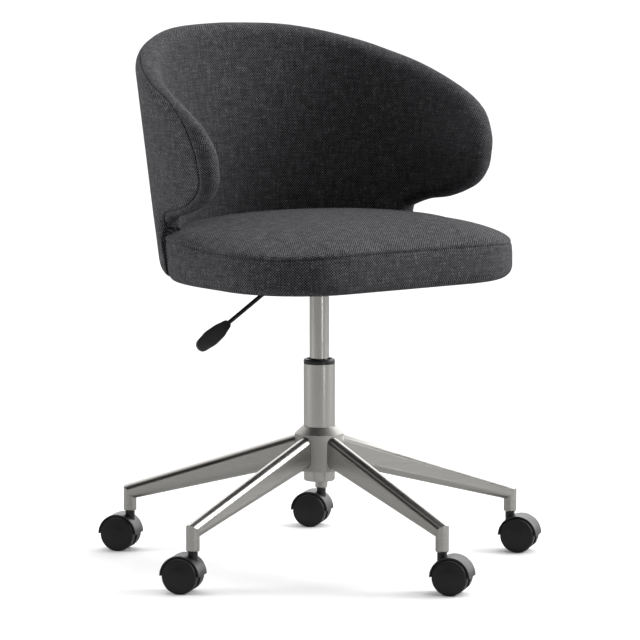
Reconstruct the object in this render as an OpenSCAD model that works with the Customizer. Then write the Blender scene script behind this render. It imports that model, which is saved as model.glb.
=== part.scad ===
// Upholstered swivel desk chair: padded tub back and seat on a gas lift,
// a five-arm base and five twin-wheel casters. The front faces -Y and the
// origin is on the floor, on the axis of the column.

/* [Lift] */
// How far the lift stands above its lowest position
lift = 80; // [0:1:100]
// Diameter of the sliding gas cylinder
cylinder_d = 28; // [26:0.5:30]
// Outer diameter of the column tube
tube_d = 45; // [44:0.5:50]

/* [Base] */
// Distance from the column axis to each caster post
post_radius = 291; // [270:1:320]
// Turn of the first arm from the +X axis
first_arm_angle = -19.6; // [-36:0.1:36]
// Width of an arm across its length
arm_width = 19; // [17:0.5:20]
// Diameter of the hub body
hub_d = 70; // [68:1:76]

/* [Casters] */
// Wheel diameter
wheel_d = 50; // [48:1:50]
// Distance from the swivel axis to the wheel axle
trail = 14.5; // [12:0.5:16]
// Width over both wheels
wheels_across = 44.8; // [42:0.2:48]
// Direction that each caster trails in
caster_heading = [-53, 127, 127, 127, -53];

/* [Seat] */
// Radius of the seat outline at the back
seat_back_r = 221; // [215:1:222]
// Radius of the seat outline at the sides, in front of the shell
seat_side_r = 238.5; // [230:0.5:240]
// Radius of the front corners of the seat
corner_r = 134; // [120:1:138]
// Height of the boxing band
band_h = 54.5; // [45:0.5:60]
// Rise of the crown above the band
crown_h = 28; // [20:1:32]

/* [Shell] */
// Outer radius of the shell at the bottom of the seat
shell_r = 241; // [238:1:246]
// Outward lean of the wall, in radius per height
shell_lean = 0.12; // [0.08:0.01:0.14]
// Thickness of the padded wall and of its rolled rim
wall_t = 35; // [30:1:38]

/* [Hidden] */
$fn = 96;

// Colours
nickel = [0.72, 0.70, 0.67];
black_plastic = [0.10, 0.10, 0.11];
black_metal = [0.14, 0.14, 0.15];
charcoal = [0.28, 0.28, 0.30];
steel = [0.60, 0.60, 0.62];
ply = [0.72, 0.56, 0.38];
rubber = [0.08, 0.08, 0.08];

// Gaps: running fit on a shaft, and the gap between fixed neighbours
fit = 0.05;
gap = 0.3;

// Arms: heights of the axes of the round top and bottom edges, at the hub and at the post
arm_count = 5;
hub_r = hub_d / 2;
arm_top_hub = 174;
arm_top_post = 88.5;
arm_low_hub = 148.8;
arm_low_post = 84.3;
arm_start = 26.3;
post_bottom = 58;
post_chamfer = 1.5;
socket_bore_d = 12.6;
socket_bore_h = 22;
stem_d = 10.9;

// Hub and column
hub_bottom = 134;
hub_shoulder = 187;
hub_top = 197;
tube_r = tube_d / 2;
tube_bore_r = tube_r - 2;
tube_bottom = 118.5;
tube_floor = 124.5;
tube_top = 287;
ring_top = 294;
cyl_r = cylinder_d / 2;
rod_r = 5;

// Heights that travel with the lift: underside of the seat, then the parts below it
seat_base = 333 + lift;
plate_top = seat_base - 1;
plate_t = 3;
plate_half = 75;
socket_bottom = seat_base - 28;
cyl_top = seat_base - 15.5;
cyl_bottom = cyl_top - 180.5;
pin_top = seat_base - 13;
lever_z = seat_base - 9.5;
gland_h = 12;
lever_pivot_x = -45;
lever_bend_x = -82;
lever_drop = 31.2;
bolt_spots = [for (x = [-60, 60]) for (y = [-60, 60]) [x, y]];

// Seat outline: a circle at the back, inside the shell, a larger one in front of the shell's
// edges, and one at each front corner
seat_y = -29;
step_y = 51.9;
corner_x = 106;
corner_y = -92;
pan_t = 12;
pan_inset = 20;
crown_ball_r = 1100;

// Caster
axle_z = wheel_d / 2;
axle_r = 3;
hood_in = wheel_d / 2 + 1.2;
hood_out = wheel_d / 2 + 3.5;
hood_w = 36;
rib_t = 9;
neck_d = 13.7;
wheel_in = rib_t / 2 + 0.7;
wheel_w = wheels_across / 2 - wheel_in;

// Shell rim: [angle from the back centre, height above the floor at lift 80] of the centre
// of the rolled edge, along the top and then along the lower edge of the pad
rim_top = [[0, 746], [18, 743.5], [31, 735], [45, 719.5], [55, 706], [64, 692.5],
    [73.5, 677], [82, 661.5], [87, 651], [91, 640.5], [94, 628.5], [96.4, 612], [97.6, 597], [97.8, 586]];
rim_low = [[0, 503], [18, 503], [31, 503], [45, 503], [55, 503], [63, 504.5],
    [70, 512], [76, 523], [81.5, 531], [86.5, 536.5], [90.8, 543], [94.3, 553], [97.1, 568], [97.8, 583]];
shell_ref = 415;
roll_r = wall_t / 2;
core_out = 7.5;
core_in = 15;
pad_out = 15.5;
neck_angle = 69.5;

// ---------- shared helpers ----------

function arm_angle(i) = first_arm_angle + (i - 1) * 360 / arm_count;

// Height on a sloped edge of an arm, z_hub at the hub face and z_post at the post
function edge_z(x, z_hub, z_post) = z_hub + (z_post - z_hub) * (x - hub_r) / (post_radius - hub_r);

// Smooth curve through a list of points, at t from 0 to the number of spans
function spline(p, t) =
    let (n = len(p) - 1, i = min(floor(t), n - 1), u = t - i,
         a = p[max(i - 1, 0)], b = p[i], c = p[i + 1], d = p[min(i + 2, n)])
    0.5 * (2 * b + (c - a) * u + (2 * a - 5 * b + 4 * c - d) * u * u + (3 * b - 3 * c + d - a) * u * u * u);

// Outer radius of the shell at a height given for lift 80
function shell_radius(z) = shell_r + shell_lean * (z - shell_ref);

// Point of the shell: angle from the back centre, height for lift 80, depth in from the outside
function shell_point(a, z, depth) =
    let (r = shell_radius(z) - depth) [r * sin(a), seat_y + r * cos(a), z + lift - 80];

// ---------- base ----------

module sloped_rod(z_hub, z_post, grow = 0, x0 = 0, len = post_radius + 60) {
    slope = atan((z_hub - z_post) / (post_radius - hub_r));
    translate([x0, 0, edge_z(x0, z_hub, z_post)])
        rotate([0, 90 + slope, 0])
            cylinder(r = arm_width / 2 + grow, h = len);
}

// Part of an arm's bar between two distances from the column axis
module arm_bar(x0, x1) {
    web = arm_width - 0.16;
    intersection() {
        union() {
            sloped_rod(arm_top_hub, arm_top_post);
            sloped_rod(arm_low_hub, arm_low_post);
            translate([0, web / 2, 0])
                rotate([90, 0, 0])
                    linear_extrude(web)
                        polygon([[0, edge_z(0, arm_top_hub, arm_top_post)],
                            [post_radius, arm_top_post], [post_radius, arm_low_post],
                            [0, edge_z(0, arm_low_hub, arm_low_post)]]);
        }
        translate([x0, -arm_width, 0])
            cube([x1 - x0, 2 * arm_width, 300]);
    }
}

// Everything below the top edge of an arm, used to mitre the post
module under_arm() {
    translate([0, arm_width, 0])
        rotate([90, 0, 0])
            linear_extrude(2 * arm_width)
                polygon([[post_radius - 30, 0], [post_radius + 30, 0],
                    [post_radius + 30, edge_z(post_radius + 30, arm_top_hub, arm_top_post)],
                    [post_radius - 30, edge_z(post_radius - 30, arm_top_hub, arm_top_post)]]);
}

module arm(i) {
    post_r = arm_width / 2 - 0.1;
    color(nickel)
        rotate(arm_angle(i))
            difference() {
                union() {
                    arm_bar(arm_start, post_radius);
                    intersection() {
                        translate([post_radius, 0, post_bottom]) {
                            cylinder(r1 = post_r - post_chamfer, r2 = post_r, h = post_chamfer);
                            translate([0, 0, post_chamfer])
                                cylinder(r = post_r, h = 60);
                        }
                        union() {
                            under_arm();
                            sloped_rod(arm_top_hub, arm_top_post, 0);
                        }
                    }
                }
                translate([post_radius, 0, post_bottom - 1])
                    cylinder(d = socket_bore_d, h = socket_bore_h + 1);
            }
}

module base_hub() {
    color(nickel)
        difference() {
            rotate_extrude()
                polygon([[tube_r + fit, hub_bottom], [hub_r - 2, hub_bottom], [hub_r, hub_bottom + 2],
                    [hub_r, hub_shoulder], [tube_r + 1.5, hub_top], [tube_r + fit, hub_top]]);
            for (i = [1 : arm_count])
                rotate(arm_angle(i)) {
                    x0 = arm_start - gap;
                    w = arm_width / 2 + gap - 0.02;
                    low = edge_z(x0, arm_low_hub, arm_low_post);
                    sloped_rod(arm_top_hub, arm_top_post, gap, x0 - 3.2, 40);
                    sloped_rod(arm_low_hub, arm_low_post, gap, x0, 40);
                    translate([x0, -w, low])
                        cube([40, 2 * w, edge_z(x0, arm_top_hub, arm_top_post) - low]);
                }
        }
}

module outer_tube() {
    color(nickel)
        rotate_extrude()
            polygon([[rod_r + 0.2, tube_bottom + 2], [12, tube_bottom + 2], [12, tube_bottom],
                [tube_r - 1.5, tube_bottom], [tube_r, tube_bottom + 1.5], [tube_r, tube_top],
                [tube_bore_r, tube_top], [tube_bore_r, tube_floor], [rod_r + 0.2, tube_floor]]);
}

module guide_bushing() {
    color(black_plastic)
        translate([0, 0, tube_top - 70])
            difference() {
                cylinder(r = tube_bore_r - fit, h = 70 - 0.1);
                translate([0, 0, -1])
                    cylinder(r = cyl_r + fit, h = 72);
            }
}

module top_ring() {
    bore = cyl_r + 0.3;
    color(black_plastic)
        rotate_extrude()
            polygon([[bore, tube_top + 0.1], [tube_r - 0.8, tube_top + 0.1], [tube_r, tube_top + 0.9],
                [tube_r, ring_top - 2.4], [tube_r - 0.7, ring_top - 0.7], [tube_r - 2.4, ring_top],
                [bore + 4, ring_top], [bore + 3.2, ring_top - 0.8], [bore + 3.2, ring_top - 4],
                [bore, ring_top - 4]]);
}

module thrust_bearing() {
    color(steel)
        translate([0, 0, tube_floor + 0.1])
            difference() {
                cylinder(r = 12, h = 4);
                translate([0, 0, -1])
                    cylinder(r = rod_r + 0.1, h = 6);
                translate([0, 0, 1.4])
                    difference() {
                        cylinder(r = 13, h = 1.2);
                        translate([0, 0, -1])
                            cylinder(r = 10.6, h = 4);
                    }
            }
}

module caster_sockets() {
    color(black_plastic)
        for (i = [1 : arm_count])
            rotate(arm_angle(i))
                translate([post_radius, 0, post_bottom])
                    difference() {
                        cylinder(d = socket_bore_d - 0.1, h = socket_bore_h - 0.5);
                        translate([0, 0, -1])
                            cylinder(d = stem_d + 2 * fit, h = socket_bore_h + 2);
                    }
}

// ---------- column, turning and sliding parts ----------

module piston_rod() {
    head_z = 252;
    bottom = tube_bottom + 0.2;
    color(steel)
        difference() {
            union() {
                translate([0, 0, bottom])
                    cylinder(r = rod_r, h = head_z + 10 - bottom);
                translate([0, 0, tube_floor + 4.3])
                    cylinder(r = 8, h = 3);
                translate([0, 0, head_z])
                    cylinder(r = cyl_r - 1.5 - 0.08, h = 10);
            }
            translate([0, 0, bottom + 0.3])
                difference() {
                    cylinder(r = rod_r + 1, h = 1.3);
                    translate([0, 0, -1])
                        cylinder(r = rod_r - 1, h = 4);
                }
        }
}

module rod_clip() {
    color(steel)
        translate([0, 0, tube_bottom + 0.6])
            difference() {
                cylinder(r = 9, h = 1.1);
                translate([0, 0, -1])
                    cylinder(r = rod_r - 0.95, h = 4);
                translate([0, -3.2, -1])
                    cube([12, 6.4, 4]);
            }
}

module rubber_buffer() {
    color(rubber)
        translate([0, 0, tube_floor + 7.4])
            difference() {
                cylinder(r = 10, h = 4);
                translate([0, 0, -1])
                    cylinder(r = rod_r + 0.1, h = 6);
            }
}

module gas_cylinder() {
    taper = cyl_top - socket_bottom;
    color(nickel)
        difference() {
            union() {
                translate([0, 0, cyl_bottom])
                    cylinder(r = cyl_r, h = socket_bottom - cyl_bottom);
                translate([0, 0, socket_bottom])
                    cylinder(r1 = cyl_r, r2 = cyl_r - taper / 40, h = taper);
            }
            translate([0, 0, cyl_bottom - 1])
                cylinder(r = cyl_r - 1.5, h = cyl_top - 22 - cyl_bottom);
            translate([0, 0, cyl_top - 18.5])
                cylinder(r = 3 + fit, h = 30);
        }
}

module cylinder_gland() {
    color(black_metal)
        translate([0, 0, cyl_bottom + 0.3])
            difference() {
                cylinder(r = cyl_r - 1.55, h = gland_h);
                translate([0, 0, -1])
                    cylinder(r = rod_r + 0.08, h = gland_h + 2);
            }
}

module release_pin() {
    color(steel)
        translate([0, 0, cyl_top - 15])
            cylinder(r = 3, h = pin_top - cyl_top + 15);
}

module taper_socket() {
    taper = cyl_top - socket_bottom;
    top = plate_top - plate_t - 0.05;
    color(black_metal)
        difference() {
            translate([0, 0, socket_bottom]) {
                cylinder(r1 = 19.7, r2 = 20.5, h = 0.8);
                translate([0, 0, 0.8])
                    cylinder(r = 20.5, h = top - socket_bottom - 0.8);
            }
            translate([0, 0, socket_bottom])
                cylinder(r1 = cyl_r + fit, r2 = cyl_r + fit - taper / 40, h = taper);
            translate([0, 0, socket_bottom - 1])
                cylinder(r = cyl_r + fit, h = 1.01);
            translate([0, 0, cyl_top - 0.01])
                cylinder(r = 16, h = 20);
            translate([-30, -5.5, lever_z - 7])
                cube([30, 11, 15]);
        }
}

module mechanism_plate() {
    lug_t = 3;
    bottom = plate_top - plate_t;
    color(black_metal)
        difference() {
            union() {
                translate([0, 0, bottom])
                    linear_extrude(plate_t) {
                        square([2 * plate_half, 2 * plate_half - 30], center = true);
                        square([2 * plate_half - 30, 2 * plate_half], center = true);
                        for (x = [-1, 1])
                            for (y = [-1, 1])
                                translate([x * (plate_half - 15), y * (plate_half - 15)])
                                    circle(r = 15);
                    }
                for (side = [-1, 1]) {
                    translate([lever_pivot_x - 7, side * 6.5 - lug_t / 2, bottom - 10.5])
                        cube([14, lug_t, 11]);
                    translate([-50, side * (plate_half - 1.5) - 1.5, bottom - 8])
                        cube([100, 3, 9]);
                }
            }
            for (p = bolt_spots)
                translate([p[0], p[1], bottom - 5])
                    cylinder(r = 3.2, h = 20);
            translate([lever_pivot_x, 15, lever_z])
                rotate([90, 0, 0])
                    cylinder(r = 2 + fit, h = 30);
        }
}

module lever_pivot_pin() {
    color(steel)
        translate([lever_pivot_x, 9, lever_z])
            rotate([90, 0, 0])
                cylinder(r = 2, h = 18);
}

// ---------- lever ----------

// Frame of the drooping part of the lever: +X runs out along the rod
module lever_end_frame() {
    translate([lever_bend_x, 0, lever_z])
        rotate([0, 180 - lever_drop, 0])
            children();
}

module lever_rod() {
    rod = 3;
    color(black_metal)
        difference() {
            union() {
                translate([lever_bend_x, 0, lever_z])
                    rotate([0, 90, 0])
                        cylinder(r = rod, h = 3 - lever_bend_x);
                translate([lever_bend_x, 0, lever_z])
                    sphere(r = rod);
                lever_end_frame()
                    rotate([0, 90, 0])
                        cylinder(r = rod, h = 118);
                translate([lever_pivot_x, 4.3, lever_z])
                    rotate([90, 0, 0])
                        cylinder(r = 5, h = 8.6);
            }
            translate([lever_pivot_x, 15, lever_z])
                rotate([90, 0, 0])
                    cylinder(r = 2 + fit, h = 30);
        }
}

module lever_handle() {
    color(black_plastic)
        lever_end_frame()
            rotate([115, 0, 0])
                difference() {
                    hull() {
                        translate([96.5, 0, -4.5])
                            cylinder(d = 13, h = 9, $fn = 32);
                        translate([112, 0.5, -4])
                            cylinder(d = 21, h = 8, $fn = 32);
                        translate([126, 0.5, -3.5])
                            cylinder(d = 23.5, h = 7, $fn = 32);
                        translate([142, 0.5, -2.5])
                            cylinder(d = 19, h = 5, $fn = 32);
                    }
                    translate([80, 0, 0])
                        rotate([0, 90, 0])
                            cylinder(r = 3 + fit, h = 38.1);
                }
}

// ---------- seat ----------

// Outline of the seat, pulled in by inset
module seat_outline(inset = 0) {
    rb = seat_back_r - inset;
    rs = seat_side_r - inset;
    rc = corner_r - inset;
    dx = -corner_x;
    dy = seat_y - corner_y;
    side = atan2(dy, dx) - acos((rc - rs) / norm([dx, dy]));
    intersection() {
        translate([0, seat_y])
            circle(r = rb, $fn = 180);
        translate([-rb, seat_y])
            square([2 * rb, rb]);
    }
    intersection() {
        translate([0, seat_y])
            circle(r = rs, $fn = 180);
        translate([-rs, seat_y])
            square([2 * rs, step_y - inset - seat_y]);
    }
    for (s = [-1, 1])
        translate([s * corner_x, corner_y])
            circle(r = rc, $fn = 180);
    polygon([[corner_x, corner_y - rc],
        [corner_x + rc * cos(side), corner_y + rc * sin(side)],
        [rs * cos(side), seat_y + rs * sin(side)],
        [rs * cos(side) - 60, seat_y + rs * sin(side)],
        [-rs * cos(side) + 60, seat_y + rs * sin(side)],
        [-rs * cos(side), seat_y + rs * sin(side)],
        [-corner_x - rc * cos(side), corner_y + rc * sin(side)],
        [-corner_x, corner_y - rc]]);
}

bracket_angles = [-50, 0, 50];
bracket_screw_at = [168, 190];

// Places a child at each bracket screw
module at_bracket_screws() {
    for (a = bracket_angles)
        translate([0, seat_y, 0])
            rotate(90 - a)
                for (r = bracket_screw_at)
                    translate([r, 0, 0])
                        children();
}

module seat_pan() {
    color(ply)
        difference() {
            translate([0, 0, seat_base + 0.1])
                linear_extrude(pan_t)
                    seat_outline(pan_inset);
            for (p = bolt_spots)
                translate([p[0], p[1], 0]) {
                    translate([0, 0, seat_base - 5])
                        cylinder(r = 4, h = 30);
                    translate([0, 0, seat_base + pan_t - 1.6])
                        cylinder(r = 9.2, h = 5);
                }
            at_bracket_screws()
                translate([0, 0, seat_base - 1])
                    cylinder(r = 2.05, h = 9.2);
        }
}

module dust_cover() {
    color(rubber)
        translate([0, 0, seat_base - 0.9])
            linear_extrude(0.8)
                difference() {
                    seat_outline(pan_inset);
                    for (p = bolt_spots)
                        translate(p)
                            circle(r = 4.5);
                    for (a = bracket_angles)
                        translate([0, seat_y])
                            rotate(90 - a)
                                for (r = bracket_screw_at)
                                    translate([r, 0])
                                        circle(r = 3);
                }
}

module seat_cushion() {
    band_top = seat_base + band_h;
    color(charcoal)
        difference() {
            union() {
                translate([0, 0, seat_base])
                    linear_extrude(band_h)
                        seat_outline();
                intersection() {
                    translate([0, 0, seat_base + 20])
                        linear_extrude(band_h + crown_h)
                            seat_outline();
                    translate([0, corner_y / 3, band_top + crown_h - crown_ball_r])
                        sphere(r = crown_ball_r, $fn = 360);
                }
            }
            translate([0, 0, seat_base - 1])
                linear_extrude(pan_t + 1.5)
                    seat_outline(pan_inset - 0.4);
        }
}

module t_nuts() {
    color(steel)
        for (p = bolt_spots)
            translate([p[0], p[1], seat_base + 1])
                difference() {
                    union() {
                        cylinder(r = 3.95, h = pan_t - 1.2);
                        translate([0, 0, pan_t - 2.4])
                            cylinder(r = 9, h = 1.3);
                    }
                    translate([0, 0, -1])
                        cylinder(r = 3.05, h = 20);
                }
}

module plate_bolts() {
    head = plate_top - plate_t - 4.05;
    color(steel)
        for (p = bolt_spots)
            translate([p[0], p[1], head]) {
                difference() {
                    cylinder(r = 5, h = 4);
                    translate([0, 0, -1])
                        cylinder(r = 2.9, h = 3.5, $fn = 6);
                }
                translate([0, 0, 4])
                    cylinder(r = 3, h = 14);
            }
}

module bracket(a) {
    t = 2.5;
    color(black_metal)
        translate([0, seat_y, seat_base - 1 - t])
            rotate(90 - a)
                difference() {
                    union() {
                        translate([150, -20, 0])
                            cube([seat_back_r + 0.3 + t - 150, 40, t]);
                        translate([seat_back_r + 0.3, -20, 0])
                            cube([t, 40, 44]);
                    }
                    for (r = bracket_screw_at)
                        translate([r, 0, -1])
                            cylinder(r = 2.2, h = 5);
                }
}

module bracket_screws() {
    color(steel)
        at_bracket_screws()
            translate([0, 0, seat_base - 1 - 2.5]) {
                translate([0, 0, -2.05])
                    cylinder(r1 = 3.2, r2 = 4, h = 2);
                translate([0, 0, -0.1])
                    cylinder(r = 2, h = 11);
            }
}

// ---------- shell ----------

// Leaning wall between two depths in from the outside, from height z0 to z1
module shell_wall(depth_out, depth_in, z0, z1) {
    ro = shell_radius(z0) - depth_out;
    ri = shell_radius(z0) - depth_in;
    rise = shell_lean * (z1 - z0);
    translate([0, seat_y, z0 + lift - 80])
        rotate_extrude($fn = 180)
            polygon([[ri, 0], [ro, 0], [ro + rise, z1 - z0], [ri + rise, z1 - z0]]);
}

// Side view of the stiff shell, drawn well inside the rolled rim
module shell_side(inset, steps) {
    n = len(rim_top) - 3;
    depth = 8;
    top = [for (k = [0 : n * steps]) spline(rim_top, k / steps)];
    low = [for (k = [n * steps : -1 : 7 * steps]) spline(rim_low, k / steps)];
    function side(p, up, back) =
        let (q = shell_point(p[0], p[1], depth)) [q[1] + back, q[2] - (lift - 80) + up];
    crest = [for (p = top) side(p, -inset, p[0] > 80 ? inset * (p[0] - 80) / 20 : 0)];
    belly = [for (p = low) side(p, inset, p[0] > 80 ? inset * (p[0] - 80) / 20 : 0)];
    neck = [for (p = [[neck_angle + 2, 521], [neck_angle - 1, 513], [neck_angle - 2.5, 505],
                      [neck_angle - 3.5, 495], [neck_angle - 3.5, 484], [neck_angle - 1.5, 472],
                      [neck_angle, 460], [neck_angle, 300]])
        side(p, 0, 0)];
    polygon(concat([[400, 300], [400, crest[0][1]]], crest, belly, neck));
}

module stiff_shell(depth_out, depth_in, bottom, inset) {
    intersection() {
        shell_wall(depth_out, depth_in, bottom, 760);
        translate([-400, 0, lift - 80])
            rotate([90, 0, 90])
                linear_extrude(800)
                    shell_side(inset, 2);
    }
}

module shell_core() {
    color(ply)
        stiff_shell(core_out, core_in, shell_ref + 1.5, 6);
}

module outer_panel() {
    color(charcoal)
        stiff_shell(0, core_out - 0.5, shell_ref, 5);
}

// Cross-sections of the inner pad, one for each step along the rim, from the back centre out
pad_steps = 3;
pad_spans = len(rim_top) - 1;
arc_n = 7;

// Unit direction, across the rim and away from the pad, at span position t
function rim_out(p, t, turn) =
    let (a = spline(p, max(t - 0.05, 0)), b = spline(p, min(t + 0.05, pad_spans)),
         r = shell_radius(a[1]) * PI / 180,
         d = [(b[0] - a[0]) * r, b[1] - a[1]])
    turn * [-d[1], d[0]] / norm(d);

// Point round the roll at rim position c, out direction n, angle a from -90 inside to 90 outside
function roll_point(c, n, a, s) =
    let (r = shell_radius(c[1]) - roll_r)
    shell_point(s * (c[0] + n[0] * roll_r * cos(a) * 180 / PI / r), c[1] + n[1] * roll_r * cos(a),
        roll_r * (1 - sin(a)));

function blend(t) = let (u = min(max(t, 0), 1)) u * u * (3 - 2 * u);

// One closed ring: round the top roll from outside to inside, down, round the lower edge, up
function pad_ring(t, s) =
    let (c = spline(rim_top, t), e = spline(rim_low, t),
         tip = t >= pad_spans,
         nc = tip ? [1, 0] : rim_out(rim_top, t, 1),
         ne = tip ? [1, 0] : rim_out(rim_low, t, -1),
         open = blend((c[1] - e[1] - 16) / 40),
         back = roll_r - pad_out * open,
         wrap = blend((e[0] - 68) / 10),
         flat = asin((roll_r - pad_out) / roll_r),
         low_end = flat + (90 - flat) * wrap,
         lip = 0.4 + 1.6 * open,
         low_lip = 0.4 + 1.6 * open * wrap)
    concat(
        [for (k = [0 : arc_n]) roll_point(c, nc, 90 - 180 * k / arc_n, s)],
        [for (k = [0 : arc_n]) roll_point(e, ne, -90 + (low_end + 90) * k / arc_n, s)],
        [ring_in(e, ne, low_lip, back - 0.02, s), ring_in(c, nc, lip, back, s)]);

// Point at distance lip inside the rim centre, with across the wall from its middle outward
function ring_in(c, n, lip, across, s) =
    let (r = shell_radius(c[1]) - roll_r)
    shell_point(s * (c[0] - n[0] * lip * 180 / PI / r), c[1] - n[1] * lip, roll_r - across);

module inner_pad() {
    m = 2 * (arc_n + 1) + 2;
    rings = pad_spans * pad_steps;
    pts = [for (k = [-rings : rings])
        each pad_ring(abs(k) / pad_steps, k < 0 ? -1 : 1)];
    count = 2 * rings + 1;
    sides = [for (k = [0 : count - 2]) for (j = [0 : m - 1])
        let (a = k * m + j, b = k * m + (j + 1) % m)
        each [[a, b + m, b], [a, a + m, b + m]]];
    // The ends are closed by a strip that joins the two arcs and their inner corners
    function cap(base, order) =
        let (top = [m - 1, for (j = [0 : arc_n]) j], low = [m - 2, for (j = [0 : arc_n]) m - 3 - j])
        [for (j = [0 : len(top) - 2])
            let (a = base + top[j], b = base + top[j + 1], c = base + low[j + 1], d = base + low[j])
            each (order > 0 ? [[a, b, c], [a, c, d]] : [[a, c, b], [a, d, c]])];
    color(charcoal)
        polyhedron(pts, concat(sides, cap(0, 1), cap((count - 1) * m, -1)));
}

// ---------- casters ----------

// Frame of a caster: origin on the floor under its swivel axis, +X towards the axle
module at_caster(i) {
    rotate(arm_angle(i))
        translate([post_radius, 0, 0])
            rotate(caster_heading[i - 1] - arm_angle(i))
                children();
}

module caster_housing(i) {
    color(black_plastic)
        at_caster(i)
            difference() {
                union() {
                    intersection() {
                        translate([trail, hood_w / 2, axle_z])
                            rotate([90, 0, 0])
                                difference() {
                                    cylinder(r = hood_out, h = hood_w);
                                    translate([0, 0, -1])
                                        cylinder(r = hood_in, h = hood_w + 2);
                                }
                        translate([trail - 40, -30, axle_z])
                            cube([80, 60, 40]);
                    }
                    intersection() {
                        translate([trail, rib_t / 2, axle_z])
                            rotate([90, 0, 0])
                                cylinder(r = hood_in + 0.5, h = rib_t);
                        translate([trail - 40, -30, 12])
                            cube([80, 60, 60]);
                    }
                    difference() {
                        translate([0, 0, axle_z + 10])
                            cylinder(d = neck_d, h = post_bottom - gap - axle_z - 10);
                        translate([trail, 30, axle_z])
                            rotate([90, 0, 0])
                                cylinder(r = hood_in, h = 60);
                    }
                }
                translate([0, 0, 31.9])
                    cylinder(r = 4 + fit, h = 40);
                translate([trail, 30, axle_z])
                    rotate([90, 0, 0])
                        cylinder(r = axle_r + fit, h = 60);
            }
}

module caster_stem(i) {
    color(steel)
        at_caster(i) {
            translate([0, 0, 32])
                cylinder(r = 4, h = 26.5);
            translate([0, 0, post_bottom])
                difference() {
                    cylinder(d = stem_d, h = 19);
                    translate([0, 0, 14])
                        difference() {
                            cylinder(d = stem_d + 2, h = 1.6);
                            translate([0, 0, -1])
                                cylinder(d = stem_d - 1.6, h = 4);
                        }
                }
        }
}

module caster_axle(i) {
    color(steel)
        at_caster(i)
            translate([trail, 18, axle_z])
                rotate([90, 0, 0])
                    cylinder(r = axle_r, h = 36);
}

// One wheel: domed outer face, rounded shoulders, hollow inner side with a hub
module wheel(i, side) {
    r = wheel_d / 2;
    w = wheel_w;
    round_r = 3.2;
    shoulder = [for (a = [0 : 18 : 90])
        [r - round_r + round_r * cos(a), w - 1.6 - round_r + round_r * sin(a)]];
    color(black_plastic)
        at_caster(i)
            translate([trail, side * wheel_in, axle_z])
                rotate([-90 * side, 0, 0])
                    rotate_extrude()
                        polygon(concat([[axle_r + fit, 0], [7, 0], [7, w - 6], [r - 4, w - 7.5], [r - 3, 0],
                            [r - 0.8, 0], [r, 0.8]], shoulder,
                            [[14, w - 0.9], [8, w - 0.2], [0, w], [0, 13.2], [axle_r + fit, 13.2]]));
}

base_hub();
arm(1);  // arm_1
arm(2);  // arm_2
arm(3);  // arm_3
arm(4);  // arm_4
arm(5);  // arm_5
outer_tube();
guide_bushing();
top_ring();
thrust_bearing();
caster_sockets();
piston_rod();
rod_clip();
rubber_buffer();
gas_cylinder();
cylinder_gland();
release_pin();
taper_socket();
mechanism_plate();
lever_pivot_pin();
lever_rod();
lever_handle();
plate_bolts();
t_nuts();
seat_pan();
dust_cover();
seat_cushion();
bracket(-50);  // bracket_left
bracket(0);  // bracket_rear
bracket(50);  // bracket_right
bracket_screws();
shell_core();
outer_panel();
inner_pad();
for (i = [1 : arm_count]) {
    caster_housing(i);
    caster_stem(i);
    caster_axle(i);
    wheel(i, 1);
    wheel(i, -1);
}
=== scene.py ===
import math
import bpy
import numpy as np
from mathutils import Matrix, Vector


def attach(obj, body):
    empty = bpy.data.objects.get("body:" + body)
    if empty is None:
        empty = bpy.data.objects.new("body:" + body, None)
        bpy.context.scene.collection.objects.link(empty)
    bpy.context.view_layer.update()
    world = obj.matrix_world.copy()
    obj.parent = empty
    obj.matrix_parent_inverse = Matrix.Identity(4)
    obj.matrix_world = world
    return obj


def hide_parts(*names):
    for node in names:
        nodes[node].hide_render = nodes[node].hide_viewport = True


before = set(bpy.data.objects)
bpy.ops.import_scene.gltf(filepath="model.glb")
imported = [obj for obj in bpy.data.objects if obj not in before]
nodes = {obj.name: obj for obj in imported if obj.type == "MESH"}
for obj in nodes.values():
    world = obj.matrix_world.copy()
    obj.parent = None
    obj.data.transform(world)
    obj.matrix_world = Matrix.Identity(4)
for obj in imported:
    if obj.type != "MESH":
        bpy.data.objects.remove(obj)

scene = bpy.context.scene
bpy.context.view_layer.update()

MM = 0.001

# ---------------------------------------------------------------- camera

YAW = math.radians(37)          # from straight in front, towards -X
CAM_BACK = 5.41                 # metres from the chair's axis
CAM_SIDE = 0.001
CAM_UP = 1.0228
CAM_DOWN = math.radians(7.10)

cam_data = bpy.data.cameras.new("camera")
cam_data.lens = 215.3
cam_data.sensor_width = 36
cam_data.clip_end = 60
camera = bpy.data.objects.new("camera", cam_data)
scene.collection.objects.link(camera)
camera.location = (-CAM_BACK * math.sin(YAW) + CAM_SIDE * math.cos(YAW),
                   -CAM_BACK * math.cos(YAW) - CAM_SIDE * math.sin(YAW), CAM_UP)
camera.rotation_euler = (math.pi / 2 - CAM_DOWN, 0, -YAW)
scene.camera = camera

# ---------------------------------------------------------------- shell geometry
# Millimetres throughout; a rim position is (angle from the back centre in degrees, height).

SEAT_Y = -29.0                  # centre of the round shell
SHELL_R = 241.0                 # outer radius at the height SHELL_REF
SHELL_LEAN = 0.12               # growth of the radius for each millimetre of height
SHELL_REF = 415.0
ARC = 245.0 * math.pi / 180     # length round the shell for one degree
THICK_TOP = 35.0                # the wall above the seat
THICK_LOW = 8.0                 # the wall beside the cushion
THIN_Z, THIN_H = 467, 18        # where it starts to get thicker, and over what height
# the foot of the wall turns in below this height, by at most TURN_MAX of the radius of the turn
TURN_Z = 435.0
TURN_R = 20.0
TURN_MAX = 0.98
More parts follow.
